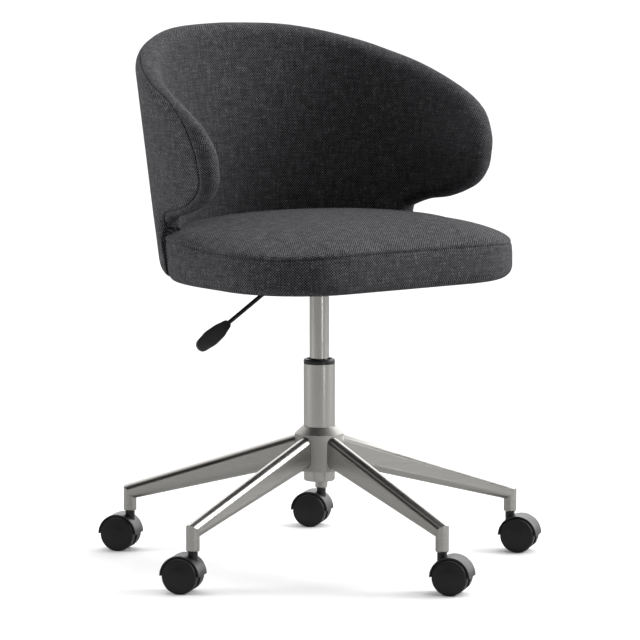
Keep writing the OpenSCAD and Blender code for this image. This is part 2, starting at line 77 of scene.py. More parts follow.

# RIM_TOP and rows 7.1 to 13 of STATIONS were fitted by a separate program, and the two seam
# tables started from another one's output.

# Centre of the rolled rim, from the back centre to the tip of the arm
RIM_TOP = np.array([[0, 746], [18, 743.3], [31, 734.8], [45, 719.3], [55, 704.6], [64, 690.9], [73.3, 674.1],
                    [81.8, 657.9], [86.6, 647.6], [90.5, 637.5], [93.7, 627], [96.4, 611.7], [98.1, 597.5],
                    [98.4, 585]], float)

# One row for each station along the rim: place on RIM_TOP, then the lower rim centre of the
# lining and of the outer panel. They are the same from the foot of the neck outwards.
STATIONS = np.array([
    [0, 0, 470, 0, 420], [1, 18, 470, 18, 420], [2, 31, 470, 31, 420], [3, 43, 470, 43, 420],
    [3.8, 50.5, 466, 50.5, 420], [4.4, 56.5, 455, 57, 420], [4.9, 61.5, 438, 61.8, 420],
    [5.25, 65, 423, 65, 423], [5.5, 67.2, 424, 67.2, 424], [5.7, 68.1, 431, 68.1, 431],
    [5.9, 68.3, 443, 68.3, 443], [6.1, 67.9, 455, 67.9, 455], [6.3, 67.3, 466, 67.3, 466],
    [6.5, 65.2, 475.5, 65.2, 475.5], [6.7, 63.7, 485, 63.7, 485], [6.9, 63.7, 496, 63.7, 496],
    [7.1, 64.8, 508, 64.8, 508], [7.3, 68.8, 517, 68.8, 517], [7.6, 74.7, 525, 74.7, 525],
    [8, 81.6, 529, 81.6, 529], [9, 86.6, 534.6, 86.6, 534.6], [10, 91, 541.4, 91, 541.4],
    [11, 95.2, 549.8, 95.2, 549.8], [12, 98.1, 565.8, 98.1, 565.8], [13, 98.4, 585, 98.4, 585]], float)
SPANS = len(STATIONS) - 1

# Seam between the panel and the roll, for places on RIM_TOP: millimetres beyond the upper rim
# centre, then radii of the roll beyond the lower one
SEAM_TOP = [(0, 13.5), (5, 15), (6.8, 16), (7.8, 14.8), (8.8, 12), (9.5, 9.2), (10.3, 5.5), (11.2, 0.5),
            (12.2, -2.2), (13, -2.4)]
SEAM_LOW = [(0, 0.98), (6.5, 0.98), (6.9, 0.95), (7.1, 0.9), (7.3, 0.8), (7.6, 0.66),
            (8.2, 0.62), (9.6, 0.64), (10.7, 0.46), (11.4, 0.25), (12.3, 0), (13, -0.07)]

# Where the curve of each station passes the neck: station, angle, height
GATES = [(0, 0, 492), (1, 17, 492), (2, 29, 492), (3, 39.5, 492), (4, 45.5, 492), (5, 49.5, 492),
         (6, 52.3, 492), (7, 54.2, 492), (8, 55.5, 492), (9, 56.4, 493), (10, 57.1, 495), (11, 57.8, 498),
         (12, 58.4, 502), (13, 59, 507), (14, 59.6, 513), (15, 60.4, 521), (16, 62.2, 532), (17, 66, 545),
         (18, 71.5, 556), (19, 77.5, 562)]
GATE_ANGLES = [(r[0], r[1]) for r in GATES]
GATE_HEIGHTS = [(r[0], r[2]) for r in GATES]
GATE_U = 0.72                   # part of each curve that is above its gate
GATE_FADE = (18.0, 21.0)        # stations over which the gates let go

# How hard the curves leave the rim: as a part of their length, and the least pull behind and at
# the front of the arm in millimetres
PULL = 0.75
PULL_BACK, PULL_FRONT = 150, 55
GATE_PULL, FOOT_PULL, SHORT_PULL = 0.8, 0.6, 0.2
RIM_STEP = 0.08                 # stations to either side for the direction of the rim


def spline(p, t):
    """Catmull-Rom curve through the rows of p, at t from 0 to the number of spans."""
    n = len(p) - 1
    i = min(int(t), n - 1)
    u = t - i
    a, b, c, d = p[max(i - 1, 0)], p[i], p[i + 1], p[min(i + 2, n)]
    return 0.5 * (2 * b + (c - a) * u + (2 * a - 5 * b + 4 * c - d) * u * u
                  + (3 * b - 3 * c + d - a) * u ** 3)


def table(rows, x):
    return float(np.interp(x, [r[0] for r in rows], [r[1] for r in rows]))


def smooth(x):
    x = min(max(x, 0.0), 1.0)
    return x * x * (3 - 2 * x)


def thickness(z):
    """Full above the seat; thin where the wall goes down beside the cushion."""
    return THICK_LOW + (THICK_TOP - THICK_LOW) * smooth((z - THIN_Z) / THIN_H)


def shell_xyz(s, z, depth):
    """s is the length round the shell from the back centre, at the reference radius."""
    drop = min(max(TURN_Z - z, 0.0) / TURN_R, TURN_MAX)
    r = SHELL_R + SHELL_LEAN * (z - SHELL_REF) - depth - TURN_R * (1 - math.sqrt(1 - drop * drop))
    a = s / ARC * math.pi / 180
    return (r * math.sin(a), SEAT_Y + r * math.cos(a), z)


def rim_state(tau, panel):
    """Upper and lower rim centre, outward directions and roll radii at one station, in (length,
    height). The names are c and e for the centres, nc and ne, rc and re throughout."""
    def top(t):
        p = spline(RIM_TOP, spline(STATIONS, min(max(t, 0), SPANS))[0])
        return np.array([p[0] * ARC, p[1]])

    def low(t):
        p = spline(STATIONS, min(max(t, 0), SPANS))
        return np.array([p[3] * ARC, p[4]]) if panel else np.array([p[1] * ARC, p[2]])

    def out(f, turn):
        d = f(tau + RIM_STEP) - f(tau - RIM_STEP)
        n = turn * np.array([-d[1], d[0]])
        return n / np.hypot(*n)

    c, e = top(tau), low(tau)
    if tau >= SPANS - 1e-6:
        nc = ne = np.array([1.0, 0.0])
        c = e = (c + e) / 2
    else:
        nc, ne = out(top, 1), out(low, -1)
        near = smooth((tau - SPANS + 1) / 1.0)
        nc = nc * (1 - near) + np.array([1.0, 0.0]) * near
        nc /= np.hypot(*nc)
        ne = ne * (1 - near) + np.array([1.0, 0.0]) * near
        ne /= np.hypot(*ne)
    if tau < 1e-6:
        nc, ne = np.array([0.0, 1.0]), np.array([0.0, -1.0])
    return c, e, nc, ne, thickness(c[1]) / 2, thickness(e[1]) / 2


def hermite(a, b, ta, tb, u):
    """Cubic curve from a to b with tangents ta and tb."""
    return ((2 * u ** 3 - 3 * u * u + 1) * a + (3 * u * u - 2 * u ** 3) * b
            + (u ** 3 - 2 * u * u + u) * ta + (u ** 3 - u * u) * tb)


def across(c, e, nc, ne, u, tau):
    """Curve over the face of the wall from the top rim centre to the lower one, square to both.
    Below the neck of the arm the curves first come down behind it, so that they never cross."""
    least = PULL_BACK - (PULL_BACK - PULL_FRONT) * smooth((tau - GATE_FADE[0]) / 5)
    k = math.hypot(PULL * np.hypot(*(c - e)), least)
    direct = hermite(c, e, -nc * k, ne * k, u)
    gated = smooth((GATE_FADE[1] - tau) / (GATE_FADE[1] - GATE_FADE[0]))
    if gated <= 0:
        return direct
    g = np.array([table(GATE_ANGLES, tau) * ARC, table(GATE_HEIGHTS, tau)])
    upper, lower = np.hypot(*(c - g)), np.hypot(*(g - e))
    # the rim turns sharply at the foot of the neck, so the curves leave it with a short start there
    start = GATE_PULL - (GATE_PULL - SHORT_PULL) * smooth((10.5 - tau) / 2) * smooth((tau - 4) / 1.5)
    if u < GATE_U:
        q = hermite(c, g, -nc * upper * GATE_PULL, np.array([0, -GATE_PULL * upper]), u / GATE_U)
    else:
        q = hermite(g, e, np.array([0, -FOOT_PULL * lower]), ne * start * lower, (u - GATE_U) / (1 - GATE_U))
    return q * gated + direct * (1 - gated)


def seam_angle(n, r):
    """Place of the seam round the roll: 90 is the outermost line, 0 the crest."""
    return math.degrees(math.acos(min(max(n / r, -1), 1))) if n > 0 else 90 - math.degrees(n / r)


def roll_point(c, n, r, a, grow):
    """Point round a rim at angle a (90 outside, -90 inside), pushed out by grow: its place on the
    shell, its depth and its place on the cloth. Past 90 it runs along the flat face."""
    if a > 90:
        back = math.radians(a - 90) * r
        q = c - n * back
        return q, -grow, q
    w = math.radians(a)
    q = c + n * (r + grow) * math.cos(w)
    cloth = c + n * r * math.radians(90 - a)
    return q, r - (r + grow) * math.sin(w), cloth


def groove(e, depth, width):
    """How far the cover is pulled in, at distance e from a seam."""
    return -depth * max(0.0, 1 - e / width) ** 2


class Builder:
    """Collects vertices, faces and a fabric coordinate for each face corner."""

    def __init__(self):
        self.verts, self.faces, self.uvs, self.groups = [], [], [], {}

    def vert(self, co):
        self.verts.append(tuple(v * MM for v in co))
        return len(self.verts) - 1

    def face(self, ids, uv):
        keep = [k for k in range(len(ids)) if ids[k] != ids[k - 1]]
        if len(keep) > 2:
            self.faces.append([ids[k] for k in keep])
            self.uvs.append([(uv[k][0] * MM, uv[k][1] * MM) for k in keep])

    def build(self, name):
        mesh = bpy.data.meshes.new(name)
        mesh.from_pydata(self.verts, [], self.faces)
        layer = mesh.uv_layers.new(name="weave")
        flat = [c for f in self.uvs for p in f for c in p]
        layer.data.foreach_set("uv", flat)
        mesh.polygons.foreach_set("use_smooth", [True] * len(self.faces))
        mesh.validate()
        obj = bpy.data.objects.new(name, mesh)
        scene.collection.objects.link(obj)
        for g, weights in self.groups.items():
            group = obj.vertex_groups.new(name=g)
            for i, w in weights:
                group.add([i], w, "REPLACE")
        return obj


def loft(b, rings, cloths, pins, fold):
    """Joins rings of points into a closed skin. At both ends each ring is folded shut on itself, as
    fold pairs its rows."""
    m = len(rings[0])
    ids = []
    for k, ring in enumerate(rings):
        if k in (0, len(rings) - 1):
            row = [None] * m
            for j in range(m):
                f = fold[j]
                row[j] = row[f] if f < j else b.vert(ring[j])
            ids.append(row)
        else:
            ids.append([b.vert(p) for p in ring])
        b.groups.setdefault("pin", []).extend((i, w) for i, w in zip(ids[-1], pins[k]))
    for k in range(len(rings) - 1):
        for j in range(m):
            j2 = (j + 1) % m
            uv = [cloths[k][j], cloths[k + 1][j], cloths[k + 1][j2], cloths[k][j2]]
            b.face([ids[k][j], ids[k + 1][j], ids[k + 1][j2], ids[k][j2]], uv)


# Every ring of the wall: which side, and which station
STEP = 0.2
TAUS = [0.0]
while TAUS[-1] < SPANS - 1e-6:
    TAUS.append(min(TAUS[-1] + STEP, SPANS))
COLUMNS = [(-1, t) for t in reversed(TAUS[1:])] + [(1, t) for t in TAUS]

# The seam is a groove in both covers: its depth and half width, and the distances of the rows in it
LIP_DEPTH, LIP_WIDTH = 1.9, 4.5
LINING_LIPS = [0.3, 1.0, 2.2, 4.0, 6.5]
PANEL_LIP_DEPTH, PANEL_LIP_WIDTH = 1.7, 3.4
PANEL_LIPS = [0.3, 0.9, 1.9, 3.4, 5.5]
LIP_R = 12                      # on a thinner roll than this the rows move closer together
PANEL_T = 3.4                   # thickness of the panel
UNDER = 4.3                     # depth of the lining's back face
UNDER_ROWS = [9, 4, 1.2]        # distances past the seam at which the lining dips under the panel
BACK_ROWS = 18                  # rows of points over the hidden face of a cover
FOAM = 2.5                      # the foam is fuller than the wall by this much in the middle


def lining_ring(side, tau):
    """One ring of the lining: its points, their places on the cloth and how firmly each is held."""
    c, e, nc, ne, rc, re = rim_state(tau, False)
    t_top = spline(STATIONS, tau)[0]
    at = seam_angle(table(SEAM_TOP, t_top), rc)
    al = seam_angle(table(SEAM_LOW, t_top) * re, re)
    pts, cloth, pin = [], [], []

    def add(q, depth, w, uv):
        pts.append(shell_xyz(side * q[0], q[1], depth))
        cloth.append((side * uv[0], uv[1]))
        pin.append(w)

    def roll(c, n, r, a, grow, w):
        q, depth, uv = roll_point(c, n, r, a, grow)
        wrap = c + n * r * math.radians(max(90 + a, 0)) if a <= 90 else c + n * r * math.pi + (c - uv)
        add(q, depth, w, wrap)

    # under the panel, out of the upper seam and over the roll
    for gap in UNDER_ROWS:
        roll(c, nc, rc, at + math.degrees(gap / rc), -UNDER, 1)
    for gap in LINING_LIPS:
        roll(c, nc, rc, at - math.degrees(gap / rc), groove(gap, LIP_DEPTH, LIP_WIDTH), 1 if gap < 3 else 0.3)
    steps = 9
    a0 = at - math.degrees(LINING_LIPS[-1] / rc)
    for k in range(1, steps + 1):
        roll(c, nc, rc, a0 + (-90 - a0) * k / steps, 0, 0)
    # down the inner face
    rows = 26
    for k in range(1, rows):
        u = k / rows
        q = across(c, e, nc, ne, u, tau)
        bulge = FOAM * math.sin(math.pi * u) ** 2
        add(q, thickness(q[1]) + bulge, 0 if tau < SPANS - 0.5 else 0.5, q)
    # round the lower roll, into its seam and back up behind
    steps = 8
    thin = min(1, re / LIP_R)
    lips = [x * thin for x in LINING_LIPS]
    a0 = al - math.degrees(lips[-1] / re)
    for k in range(steps):
        roll(e, ne, re, -90 + (a0 + 90) * k / steps, 0, 0 if tau > 12 else 1)
    for gap in reversed(lips):
        roll(e, ne, re, al - math.degrees(gap / re), groove(gap, LIP_DEPTH, LIP_WIDTH), 1)
    for gap in reversed(UNDER_ROWS):
        roll(e, ne, re, al + math.degrees(gap / re) * thin, -UNDER, 1)
    for k in range(1, BACK_ROWS):
        q = across(c, e, nc, ne, 1 - k / BACK_ROWS, tau)
        add(q, UNDER, 1, q)
    return pts, cloth, pin


def panel_ring(side, tau):
    """One ring of the outer panel, as lining_ring."""
    c, e, nc, ne, rc, re = rim_state(tau, True)
    t_top = spline(STATIONS, tau)[0]
    at = seam_angle(table(SEAM_TOP, t_top), rc)
    al = seam_angle(table(SEAM_LOW, t_top) * re, re)
    pts, cloth, pin = [], [], []

    def add(q, depth, w, uv):
        pts.append(shell_xyz(side * q[0], q[1], depth))
        cloth.append((side * uv[0], uv[1]))
        pin.append(w)

    def roll(c, n, r, a, grow, w):
        q, depth, uv = roll_point(c, n, r, a, grow)
        add(q, depth, w, uv)

    # out of the upper seam, round to the flat face
    for gap in PANEL_LIPS:
        roll(c, nc, rc, at + math.degrees(gap / rc), groove(gap, PANEL_LIP_DEPTH, PANEL_LIP_WIDTH), 1)
    a0 = at + math.degrees(PANEL_LIPS[-1] / rc)
    n0 = 6
    apart = 0.4                 # degrees, which keep the rows from meeting where the seam is past 90
    for k in range(1, n0 + 1):
        roll(c, nc, rc, a0 + (max(90, a0) - a0) * k / n0 + apart * k / n0, 0, 0.2)
    # down the outer face
    rows = 24
    flat0 = max(0.0, math.radians(a0 - 90) * rc)
    al0 = al + math.degrees(min(PANEL_LIPS[-1], re * 0.6) / re)
    flat1 = max(0.0, math.radians(al0 - 90) * re)
    cs, es = c - nc * flat0, e - ne * flat1
    for k in range(1, rows):
        q = across(cs, es, nc, ne, k / rows, tau)
        add(q, 0, 0, q)
    # into the lower seam
    for k in range(n0 + 1):
        turn = max(90, al0) + apart * (1 - k / n0) + (al0 - max(90, al0)) * k / n0
        roll(e, ne, re, turn, 0, 0.2)
    lips = [x * min(1, re / LIP_R) for x in PANEL_LIPS]
    for gap in reversed(lips[:-1]):
        roll(e, ne, re, al + math.degrees(gap / re), groove(gap, PANEL_LIP_DEPTH, PANEL_LIP_WIDTH), 1)
    # and back up behind, the panel's thickness further in
    hem = [0.6, 3, 7]
    for gap in hem:
        roll(e, ne, re, al + math.degrees(gap / re), -PANEL_T, 1)
    for k in range(1, BACK_ROWS):
        q = across(cs - nc * hem[-1], es - ne * hem[-1], nc, ne, 1 - k / BACK_ROWS, tau)
        add(q, PANEL_T, 1, q)
    for gap in reversed(hem):
        roll(c, nc, rc, at + math.degrees(gap / rc), -PANEL_T, 1)
    return pts, cloth, pin


def wall_piece(name, ring):
    """A closed cover of the wall, from the rings of both sides."""
    b = Builder()
    rings, cloths, pins = zip(*[ring(s, t) for s, t in COLUMNS])
    m = len(rings[0])
    # rows that meet when the last ring is folded shut
    first = np.array(rings[-1])
    fold = list(range(m))
    for j in range(m):
        d = np.abs(first - first[j]).sum(1)
        near = [i for i in range(j) if d[i] < 0.6]
        if near:
            fold[j] = fold[near[0]]
    loft(b, rings, cloths, pins, fold)
    return b.build(name)


# ---------------------------------------------------------------- cloth

def puff(obj, pressure, cap, frames=20, stiffness=25):
    """Blows the cover up a little against its pinned seams, then keeps the shape. No point moves
    further than cap."""
    rest = np.empty(len(obj.data.vertices) * 3)
    obj.data.vertices.foreach_get("co", rest)
    mod = obj.modifiers.new("Cloth", "CLOTH")
    s = mod.settings
    s.quality = 5
    s.mass = 0.3
    s.tension_stiffness = s.compression_stiffness = stiffness
    s.shear_stiffness = stiffness / 2
    s.bending_stiffness = 2
    s.use_pressure = True
    s.uniform_pressure_force = pressure
    s.vertex_group_mass = "pin"
    s.pin_stiffness = 5
    s.effector_weights.gravity = 0
    mod.collision_settings.use_collision = False
    mod.collision_settings.use_self_collision = False
    mod.point_cache.frame_start, mod.point_cache.frame_end = 1, frames
    for f in range(1, frames + 1):
        scene.frame_set(f)
    dg = bpy.context.evaluated_depsgraph_get()
    done = np.empty(len(rest))
    obj.evaluated_get(dg).data.vertices.foreach_get("co", done)
    obj.modifiers.remove(mod)
    scene.frame_set(1)
    move = (done - rest).reshape(-1, 3)
    far = np.maximum(np.linalg.norm(move, axis=1, keepdims=True), 1e-9)
    move *= np.minimum(far, cap * np.tanh(far / cap)) / far
    obj.data.vertices.foreach_set("co", (rest.reshape(-1, 3) + move).ravel())
    obj.data.update()


def subdivide(obj, levels=1):
    mod = obj.modifiers.new("Subdivision", "SUBSURF")
    mod.levels = mod.render_levels = levels


# ---------------------------------------------------------------- seat cover

# The plan: an arc round each front corner, a wide arc along each side as far as the step, and a
# narrower arc behind it, inside the shell
CORNER_R = 133.5
CORNER = (107.0, -92.0)         # centre of the right front arc
SIDE_R = 239.5
STEP_Y = 55.5
STEP_SLOPE = 4.0                # the narrower arc starts this much further forward
BACK_R = 224.0
SEAT_MID = np.array([0.0, -50.0])
CORNER_STEPS, SIDE_STEPS, BACK_STEPS = 60, 30, 60
FULL_STEPS = 720

SEAT_BASE = 412.95              # underside
WELT_Z = 467.5                  # bottom of the welt's groove
EDGE_H = 4.5                    # from there up to the edge of the top panel
CROWN = 31.0                    # from that edge up to the middle
CROWN_FLAT, CROWN_ROUND = 2.4, 0.7      # powers: how flat the middle is, how round the edge
# the top panel lies FRONT_DROP lower at the front and REAR_RISE higher at the back
REAR_RISE = 0.5
FRONT_DROP = 1.5
RISE_FROM, RISE_OVER = -190, 220
RISE_EDGE, SHIFT_EDGE = 16, 4   # powers: how near the edge the rise ends and the welt's shift starts
# the welt dips round the front corners, most at DIP_TURN radians from the side, and rises along
# the sides to the back
FRONT_DIP = 1.3
CORNER_DIP = 4.4
DIP_TURN = 0.75
DIP_SPREAD = 1.9
SIDE_LIFT = 4.2
LIFT_OVER = 75
ROUND_R = 17.0                  # round the bottom edge
BAND_IN = 0.4                   # the band's distance inside the outline
WELT_IN = 3.7                   # the top panel's edge inside the outline
# how far the band leans in from its middle up to the welt
LEAN = 2.4
LEAN_H = 24.0
# beside the foot of the neck the band leans out instead, to meet the wall
FLARE = 4.4
NECK_FROM, NECK_OVER = -60, 80
NECK_PAST, NECK_FADE = 3, 2     # it ends this far behind the step, over this distance
# the two edges folded into the welt: distance inside the outline, drop from the edge of the top
WELT_ROWS = [(0.8, 1.1), (0.7, 2.4), (1.2, 3.6), (3.2, 4.5), (1.2, 5.4), (0.6, 6.8), (0.5, 9),
             (BAND_IN, 12.5)]
BAND_ROWS = 5
ROUND_ROWS = 8
PINNED_TOP, PINNED_LOW = 4, 5   # rings of the side that the cloth simulation holds
GRID, GRID_QUICK = 34, 20       # squares from the middle of the top panel to its edge
GRID_POWER = 0.9


def seat_half(back_r):
    """Right half of the seat's plan, from the front corner to the back centre."""
    dx, dy = -CORNER[0], SEAT_Y - CORNER[1]
    side = math.atan2(dy, dx) - math.acos((CORNER_R - SIDE_R) / math.hypot(dx, dy))
    half = []
    for k in range(CORNER_STEPS + 1):
        a = -math.pi / 2 + (side + math.pi / 2) * k / CORNER_STEPS
        half.append((CORNER[0] + CORNER_R * math.cos(a), CORNER[1] + CORNER_R * math.sin(a)))
    last = math.asin((STEP_Y - SEAT_Y) / SIDE_R)
    for k in range(1, SIDE_STEPS + 1):
        a = side + (last - side) * k / SIDE_STEPS
        half.append((SIDE_R * math.cos(a), SEAT_Y + SIDE_R * math.sin(a)))
    first = math.asin((STEP_Y - STEP_SLOPE - SEAT_Y) / back_r)
    for k in range(BACK_STEPS + 1):
        a = first + (math.pi / 2 - first) * k / BACK_STEPS
        half.append((back_r * math.cos(a), SEAT_Y + back_r * math.sin(a)))
    return half


def seat_outline(n, back_r):
    """n points round the seat, anticlockwise from the right front, and the length round it. The
    points nearest to the corners of the step are moved onto them."""
    half = seat_half(back_r)
    pts = [(0, CORNER[1] - CORNER_R)] + half + [(-x, y) for x, y in reversed(half[:-1])]
    pts = np.array(pts + [pts[0]])
    run = np.concatenate([[0], np.cumsum(np.hypot(*np.diff(pts, axis=0).T))])
    # the first corner of the grid in seat_cover is an eighth of the way round
    at = (n / 8 + np.arange(n)) % n / n * run[-1]
    outer = 1 + CORNER_STEPS + SIDE_STEPS
    inner = outer + 1
    for corner in (run[outer], run[inner], run[-1] - run[inner], run[-1] - run[outer]):
        near = np.abs(at - corner)
        at[int(near.argmin())] = corner
    return np.stack([np.interp(at, run, pts[:, 0]), np.interp(at, run, pts[:, 1])], 1), run[-1]


# Distance of the full outline, without the step, in every direction from the middle
FULL = seat_outline(FULL_STEPS, SIDE_R)[0] - SEAT_MID
FULL_DIST = np.hypot(*FULL.T)
FULL_TURN = np.unwrap(np.arctan2(FULL[:, 1], FULL[:, 0]))


def welt_shift(x, y):
    """How far the welt is above WELT_Z at a point of the outline."""
    turn = math.atan2(CORNER[1] - y, abs(x) - CORNER[0])
    away = min(DIP_SPREAD * abs(turn - DIP_TURN), math.pi / 2)
    dip = FRONT_DIP + CORNER_DIP * math.cos(away) ** 2
    back = smooth((y + LIFT_OVER) / LIFT_OVER)
    return SIDE_LIFT * back - dip * (1 - back)


def crown_z(x, y):
    """Height of the top panel: nearly flat in the middle, rounding down to the welt, rising a
    little to the back."""
    p = np.array([x, y]) - SEAT_MID
    turn = math.atan2(p[1], p[0])
    full = np.interp(turn, FULL_TURN, FULL_DIST, period=2 * math.pi)
    rho = min(np.hypot(*p) / (full - top_gap(y)), 1.0)
    rise = (REAR_RISE + FRONT_DROP) * smooth((y - RISE_FROM) / RISE_OVER) - FRONT_DROP
    edge = welt_shift(x, y) * rho ** SHIFT_EDGE
    crown = CROWN * (1 - rho ** CROWN_FLAT) ** CROWN_ROUND
    return WELT_Z + EDGE_H + crown + rise * (1 - rho ** RISE_EDGE) + edge


def beside_neck(y):
    """1 beside the foot of the neck, 0 at the front and behind the step."""
    return smooth((y - NECK_FROM) / NECK_OVER) * smooth((STEP_Y + NECK_PAST - y) / NECK_FADE)


def top_gap(y):
    """How far the top panel's edge lies inside the outline."""
    return WELT_IN - (LEAN + FLARE) * beside_neck(y)


def seat_cover():
    """The cushion's cover: top, band and underside. The top and the underside are square grids
    squeezed into the outline, and the band joins their outer rings."""
    b = Builder()
    k_max = GRID
    n = 8 * k_max
    rim, length = seat_outline(n, BACK_R)
    spokes = rim - SEAT_MID
    inward = -spokes / np.hypot(*spokes.T)[:, None]

    def ring_index(i, j):
        """Ring number of a grid point, and its place round the ring as a fraction of a turn."""
        k = max(abs(i), abs(j))
        if k == 0:
            return 0, 0.0
        if i == k and j > -k:
            p = j + k
        elif j == k:
            p = 2 * k + (k - i)
        elif i == -k:
            p = 4 * k + (k - j)
        else:
            p = 6 * k + (i + k)
        return k, (p % (8 * k)) / (8 * k)

    def level(height, edge):
        """Grid of points squeezed into the outline, edge millimetres inside it."""
        ids = {}
        for i in range(-k_max, k_max + 1):
            for j in range(-k_max, k_max + 1):
                k, f = ring_index(i, j)
                x = f * n
                m, u = int(x) % n, x - int(x)
                spoke = spokes[m] * (1 - u) + spokes[(m + 1) % n] * u
                gap = edge(SEAT_MID[1] + spoke[1])
                reach = math.sin(k / k_max * math.pi / 2) ** GRID_POWER
                spoke = spoke * (1 - gap / np.hypot(*spoke)) * reach
                px, py = SEAT_MID + spoke
                ids[i, j] = b.vert((px, py, height(px, py)))
        return ids

    top = level(crown_z, top_gap)
    bottom = level(lambda x, y: SEAT_BASE, lambda y: ROUND_R)
    order = sorted((p for p in top if max(abs(p[0]), abs(p[1])) == k_max), key=lambda p: ring_index(*p)[1])

    def planar(ids, i, j):
        v = b.verts[ids[i, j]]
        return (v[0] / MM, v[1] / MM)

    for i in range(-k_max, k_max):
        for j in range(-k_max, k_max):
            quad = [(i, j), (i + 1, j), (i + 1, j + 1), (i, j + 1)]
            b.face([top[q] for q in quad], [planar(top, *q) for q in quad])
            b.face([bottom[q] for q in reversed(quad)], [planar(bottom, *q) for q in reversed(quad)])

    # the side: out of the welt groove, down the band, round the bottom edge
    welt = [b.verts[top[p]][2] / MM for p in order]
    low = SEAT_BASE + ROUND_R
    rings = [[top[p] for p in order]]
    heights = [welt]
    beside = [beside_neck(y) for _, y in rim]

    def band_ring(inset, drop):
        """One ring of the band, leaning in to the welt at the front and out beside the neck."""
        lean = LEAN * max(0.0, 1 - drop / LEAN_H) ** 2
        flare = FLARE * max(0.0, 1 - drop / (WELT_Z - low))
        move = [inset + lean * (1 - f) - flare * f for f in beside]
        rings.append([b.vert((*(rim[m] + inward[m] * move[m]), heights[-1][m])) for m in range(n)])

    for inset, drop in WELT_ROWS:
        heights.append([w - drop for w in welt])
        band_ring(inset, drop)
    for k in range(1, BAND_ROWS):
        heights.append([w - drop + (low - w + drop) * k / BAND_ROWS for w in welt])
        band_ring(BAND_IN, drop + (WELT_Z - low - drop) * k / BAND_ROWS)
    for k in range(ROUND_ROWS):
        a = math.pi / 2 * k / (ROUND_ROWS - 0.5)
        inset = BAND_IN + (ROUND_R - BAND_IN) * (1 - math.cos(a))
        heights.append([low - ROUND_R * math.sin(a)] * n)
        rings.append([b.vert((*(rim[m] + inward[m] * inset), heights[-1][m])) for m in range(n)])
    rings.append([bottom[p] for p in order])
    heights.append([SEAT_BASE] * n)
    for r in range(len(rings) - 1):
        for m in range(n):
            m2 = (m + 1) % n
            u, u2 = m / n * length, (m + 1) / n * length
            corners = [(r, m, u), (r + 1, m, u), (r + 1, m2, u2), (r, m2, u2)]
            b.face([rings[i][j] for i, j, _ in corners], [(x, heights[i][j]) for i, j, x in corners])
    pins = [(v, 1.0) for r in rings[:PINNED_TOP] + rings[-PINNED_LOW:] for v in r]
    pins += [(v, 1.0) for v in bottom.values()]
    b.groups["pin"] = pins
    return b.build("seat_cover")


# ---------------------------------------------------------------- materials

def material(name):
    """A new material, its node tree and its main shader."""
    m = bpy.data.materials.new(name)
    m.use_nodes = True
    t = m.node_tree
    return m, t, t.nodes["Principled BSDF"]


def maths(tree, op, a, b=None):
    n = tree.nodes.new("ShaderNodeMath")
    n.operation = op
    for k, v in enumerate((a, b)):
        if v is None:
            continue
        if isinstance(v, (int, float)):
            n.inputs[k].default_value = v
        else:
            tree.links.new(v, n.inputs[k])
    return n.outputs[0]


def mix_colour(tree, fac, a, b, blend="MIX"):
    n = tree.nodes.new("ShaderNodeMix")
    n.data_type = "RGBA"
    n.blend_type = blend
    for socket, v in ((n.inputs[0], fac), (n.inputs[6], a), (n.inputs[7], b)):
        if isinstance(v, (int, float)):
            socket.default_value = v
        elif isinstance(v, tuple):
            socket.default_value = (*v, 1)
        else:
            tree.links.new(v, socket)
    return n.outputs[2]


def ramp(tree, value, lo, hi, out_lo=0.0, out_hi=1.0):
    """Maps lo to hi onto out_lo to out_hi, and holds the ends."""
    n = tree.nodes.new("ShaderNodeMapRange")
    n.inputs["From Min"].default_value, n.inputs["From Max"].default_value = lo, hi
    n.inputs["To Min"].default_value, n.inputs["To Max"].default_value = out_lo, out_hi
    tree.links.new(value, n.inputs["Value"])
    return n.outputs["Result"]


def noise(tree, vector, scale, detail=2.0, rough=0.5, stretch=(1, 1, 1)):
    mapping = tree.nodes.new("ShaderNodeMapping")
    mapping.inputs["Scale"].default_value = stretch
    tree.links.new(vector, mapping.inputs["Vector"])
    n = tree.nodes.new("ShaderNodeTexNoise")
    n.inputs["Scale"].default_value = scale
    n.inputs["Detail"].default_value = detail
    n.inputs["Roughness"].default_value = rough
    tree.links.new(mapping.outputs[0], n.inputs["Vector"])
    return n.outputs["Fac"]


def bump(tree, bsdf, height, distance, strength=1.0):
    n = tree.nodes.new("ShaderNodeBump")
    n.inputs["Distance"].default_value = distance
    n.inputs["Strength"].default_value = strength
    tree.links.new(height, n.inputs["Height"])
    tree.links.new(n.outputs["Normal"], bsdf.inputs["Normal"])


CELL = 0.0019                   # metres across one square of the weave
WANDER = 0.0011                 # how far the threads stray
SLUB, STREAK = 420, 480         # noise scales of the thick places and the streaks in the yarn
YARN = 0.5                      # power: how round a thread is across
ARCH = 0.35                     # power: how flat a thread is along its float
DARK_SPECK = (0.012, 0.012, 0.014)


